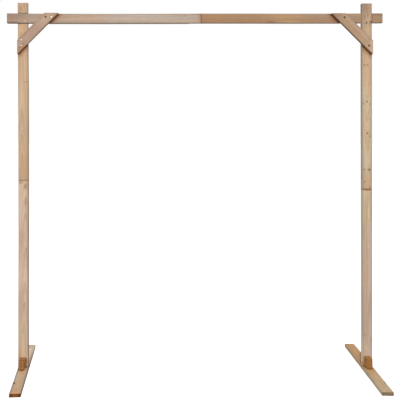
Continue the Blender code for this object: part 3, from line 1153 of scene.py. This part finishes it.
def close_end(bm, board, loop, closes, outward, seed):
    """Fill a board's end with loops that shrink to its middle line, rough as a saw leaves it."""
    along_y = [vert.co.y for vert in loop]
    along_z = [vert.co.z for vert in loop]
    middle_y = (min(along_y) + max(along_y)) / 2
    middle_z = (min(along_z) + max(along_z)) / 2
    reach = (max(along_y) - min(along_y) - (max(along_z) - min(along_z))) / 2
    outer = loop
    for share in CAP_LOOPS:
        inner = []
        for vert, close in zip(loop, closes):
            y = vert.co.y + (middle_y + close * reach - vert.co.y) * share
            z = vert.co.z + (middle_z - vert.co.z) * share
            rough = noise.noise(Vector((y * SAW_GRAIN, z * SAW_GRAIN, seed * 1.7 + outward)))
            lean = set_back(board, vert.co.y) - set_back(board, y)
            x = vert.co.x + outward * (lean - SAW_MARKS * (0.5 + 0.5 * rough))
            inner.append(bm.verts.new((x, y, z)))
        bridge(bm, outer, inner)
        outer = inner


# Screws

def lathe(bm, profile, sides, matrix, swell=None):
    """A closed turned shape. The profile lists (radius, height) between two points on the axis."""
    top = bm.verts.new(matrix @ Vector((0.0, 0.0, profile[0][1])))
    bottom = bm.verts.new(matrix @ Vector((0.0, 0.0, profile[-1][1])))
    loops = []
    for radius, height in profile[1:-1]:
        loop = []
        for step in range(sides):
            angle = 2.0 * pi * step / sides
            reach = radius + (swell(angle, height) if swell else 0.0)
            loop.append(bm.verts.new(matrix @ Vector((reach * cos(angle), reach * sin(angle), height))))
        loops.append(loop)
    for first, second in zip(loops, loops[1:]):
        bridge(bm, first, second)
    for step in range(sides):
        after = (step + 1) % sides
        bm.faces.new((top, loops[0][step], loops[0][after]))
        bm.faces.new((bottom, loops[-1][after], loops[-1][step]))
    bmesh.ops.recalc_face_normals(bm, faces=bm.faces)


def screw_facts(node):
    """Head radius, shank radius, length and placement of a screw, driven up or in from the front."""
    low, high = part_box(node)
    size = high - low
    centre = (low + high) / 2
    head = size.x / 2
    if "foot_post" in node or "block" in node:
        place = Vector((centre.x, centre.y, low.z))
        turn = Matrix.Rotation(radians(180.0), 4, "X")
        length = size.z
    else:
        place = Vector((centre.x, low.y, centre.z))
        turn = Matrix.Rotation(radians(90.0), 4, "X")
        length = size.y
    return head, head / 2, length, Matrix.Translation(place) @ turn


def finish_of(node):
    """Name of the finish of a screw's head."""
    return SCREW_FINISHES.get(node, "dusty")


def hole_profile(head, shank, length, sink):
    """A countersunk hole with a slightly crushed mouth."""
    wide = head + HOLE_CLEARANCE
    narrow = shank + HOLE_CLEARANCE
    return (
        (0.0, CUT_MARGIN),
        (wide + MOUTH_FLARE + CUT_MARGIN / 2, CUT_MARGIN),
        (wide + MOUTH_FLARE / 3, 0.0),
        (wide, -MOUTH_FLARE),
        (wide, -sink - MOUTH_FLARE),
        (narrow, -sink - MOUTH_FLARE - (wide - narrow)),
        (narrow, -length - sink),
        (0.0, -length - sink - narrow),
    )


def screw_mesh(head, shank, length):
    """A countersunk screw with a thread, its head's face at height zero."""
    neck = -(head - shank)
    plain_end = neck - length * PLAIN_SHANK
    thread_start = plain_end - THREAD_STEP
    thread_end = -length + TIP_LENGTH
    core = shank - THREAD_DEPTH
    profile = [
        (0.0, 0.0),
        (head * HEAD_FLAT, 0.0),
        (head - HEAD_RIM, 0.0),
        (head, -HEAD_RIM),
        (head, -2 * HEAD_RIM),
        (shank, neck - 2 * HEAD_RIM),
        (shank, plain_end),
        (core, thread_start),
    ]
    rings = int((plain_end - thread_end) / THREAD_PITCH * RINGS_A_PITCH)
    for ring in range(1, rings + 1):
        profile.append((core, thread_start + (thread_end - plain_end) * ring / rings))
    profile += [(core * 0.5, -length + TIP_LENGTH * 0.3), (0.0, -length)]

    def thread(angle, height):
        if height > plain_end - 2 * THREAD_STEP or height < thread_end:
            return 0.0
        turn = (height / THREAD_PITCH + angle / (2.0 * pi)) % 1.0
        return THREAD_DEPTH * max(0.0, 1.0 - abs(turn - 0.5) * 4.0)

    bm = bmesh.new()
    lathe(bm, profile, SCREW_SIDES, Matrix.Identity(4), thread)
    return mesh_of("screw", bm)


def blade_cutter(head, quarter_turn):
    """One blade of the cross recess, narrower towards its bottom."""
    bm = bmesh.new()
    bmesh.ops.create_cube(bm, size=1.0)
    for vert in bm.verts:
        taper_long, taper_wide = (1.0, 1.0) if vert.co.z > 0 else RECESS_TAPER
        vert.co.x *= head * RECESS_LONG * taper_long
        vert.co.y *= head * RECESS_WIDE * taper_wide
        vert.co.z = RECESS_PROUD if vert.co.z > 0 else -head * RECESS_DEEP
    bmesh.ops.rotate(bm, verts=bm.verts, matrix=Matrix.Rotation(radians(90.0) * quarter_turn, 3, "Z"))
    return add_cutter("recess", bm, Matrix.Identity(4))


def carve(thing, cutters):
    """Take the cutters' shapes out of an object for good."""
    for cutter in cutters:
        boolean = thing.modifiers.new(cutter.name, "BOOLEAN")
        boolean.operation = "DIFFERENCE"
        boolean.solver = "EXACT"
        boolean.object = cutter
    bpy.context.view_layer.update()
    evaluated = thing.evaluated_get(bpy.context.evaluated_depsgraph_get())
    mesh = bpy.data.meshes.new_from_object(evaluated)
    thing.modifiers.clear()
    thing.data = mesh
    for cutter in cutters:
        bpy.data.objects.remove(cutter)


# Building

def boxes_meet(first, second):
    """Whether the boxes of two nodes overlap."""
    low_a, high_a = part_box(first)
    low_b, high_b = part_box(second)
    return all(low_a[i] < high_b[i] and low_b[i] < high_a[i] for i in range(3))


def add_checks(board, rng):
    """Thin drying checks that run in from the open ends. They are tetrahedra, widest at the end."""
    bm = bmesh.new()
    lapped_ends = [place for place, _ in board.joints]
    for end in (board.low_end, board.high_end):
        if end in lapped_ends:
            continue
        inward = -1.0 if end > 0 else 1.0
        for side in CHECK_SIDES:
            across = side * rng.uniform(*CHECK_PLACE) * board.width
            half_mouth = rng.uniform(*CHECK_HALF_MOUTH)
            length = rng.uniform(*CHECK_LENGTH)
            depth = rng.uniform(*CHECK_DEPTH) * board.thickness
            face = rng.choice((-1.0, 1.0))
            if board.node.endswith("foot"):
                face = -1.0
            top = face * (board.thickness / 2 + CUT_MARGIN)
            mouth = mitre(board, end, across) - inward * CUT_MARGIN
            corners = [
                bm.verts.new((mouth, across - half_mouth, top)),
                bm.verts.new((mouth, across + half_mouth, top)),
                bm.verts.new((mouth, across, top - face * (depth + CUT_MARGIN))),
                bm.verts.new((mouth + inward * length, across + rng.uniform(*CHECK_WANDER), top)),
            ]
            for first, second, third in ((0, 1, 2), (0, 1, 3), (1, 2, 3), (0, 2, 3)):
                bm.faces.new((corners[first], corners[second], corners[third]))
    bmesh.ops.recalc_face_normals(bm, faces=bm.faces)
    return add_cutter(board.node + "_checks", bm, board.place)


def add_timber(board, look, screws):
    """Build one board with its screw holes, its checks and its own wood."""
    timber = add_object(board.node + "_timber", board_mesh(board, look))
    timber.matrix_world = board.place
    to_board = board.place.inverted()
    bm = bmesh.new()
    screw_places = []
    for node in screws:
        if boxes_meet(node, board.node):
            finish = FINISHES[finish_of(node)]
            head, shank, length, place = screw_facts(node)
            lathe(bm, hole_profile(head, shank, length, finish.sunk), HOLE_SIDES, to_board @ place)
            spot = to_board @ place.translation
            screw_places.append((spot.x, spot.y, head, finish.stain_and_shade))
    holes = add_cutter(board.node + "_holes", bm, board.place)
    carve(timber, [holes, add_checks(board, Random(look.seed + CHECK_SEED))])
    dress(timber.data, softwood(board, look, screw_places), TIMBER_CREASE)
    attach(timber, "root")
    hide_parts(board.node)


def add_screws(screws):
    """Replace each plain screw by a threaded one with a cross recess."""
    plates = {name: zinc(name + "_zinc_plate", finish) for name, finish in FINISHES.items()}
    made = {}
    rng = Random(SPIN_SEED)
    for node in screws:
        head, shank, length, place = screw_facts(node)
        finish = finish_of(node)
        kind = (round(head, 5), round(length, 4), finish)
        if kind not in made:
            blank = add_object("blank", screw_mesh(head, shank, length))
            carve(blank, [blade_cutter(head, 0), blade_cutter(head, 1)])
            dress(blank.data, plates[finish], SCREW_CREASE)
            made[kind] = blank.data
            bpy.data.objects.remove(blank)
        piece = add_object(node + "_zinc", made[kind])
        down = Matrix.Translation((0.0, 0.0, -FINISHES[finish].sunk))
        spin = Matrix.Rotation(rng.uniform(0.0, pi), 4, "Z")
        piece.matrix_world = place @ down @ spin
        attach(piece, "root")
        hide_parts(node)


add_camera()
add_floor()
add_world()
for softbox in SOFTBOXES:
    add_softbox(*softbox)
bpy.context.scene.view_settings.view_transform = "Standard"

screw_nodes = sorted(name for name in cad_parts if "_screw" in name)
for name, value in SIDES.items():
    for timber_board in side_boards(name, value):
        add_timber(timber_board, LOOKS[timber_board.node], screw_nodes)
add_screws(screw_nodes)
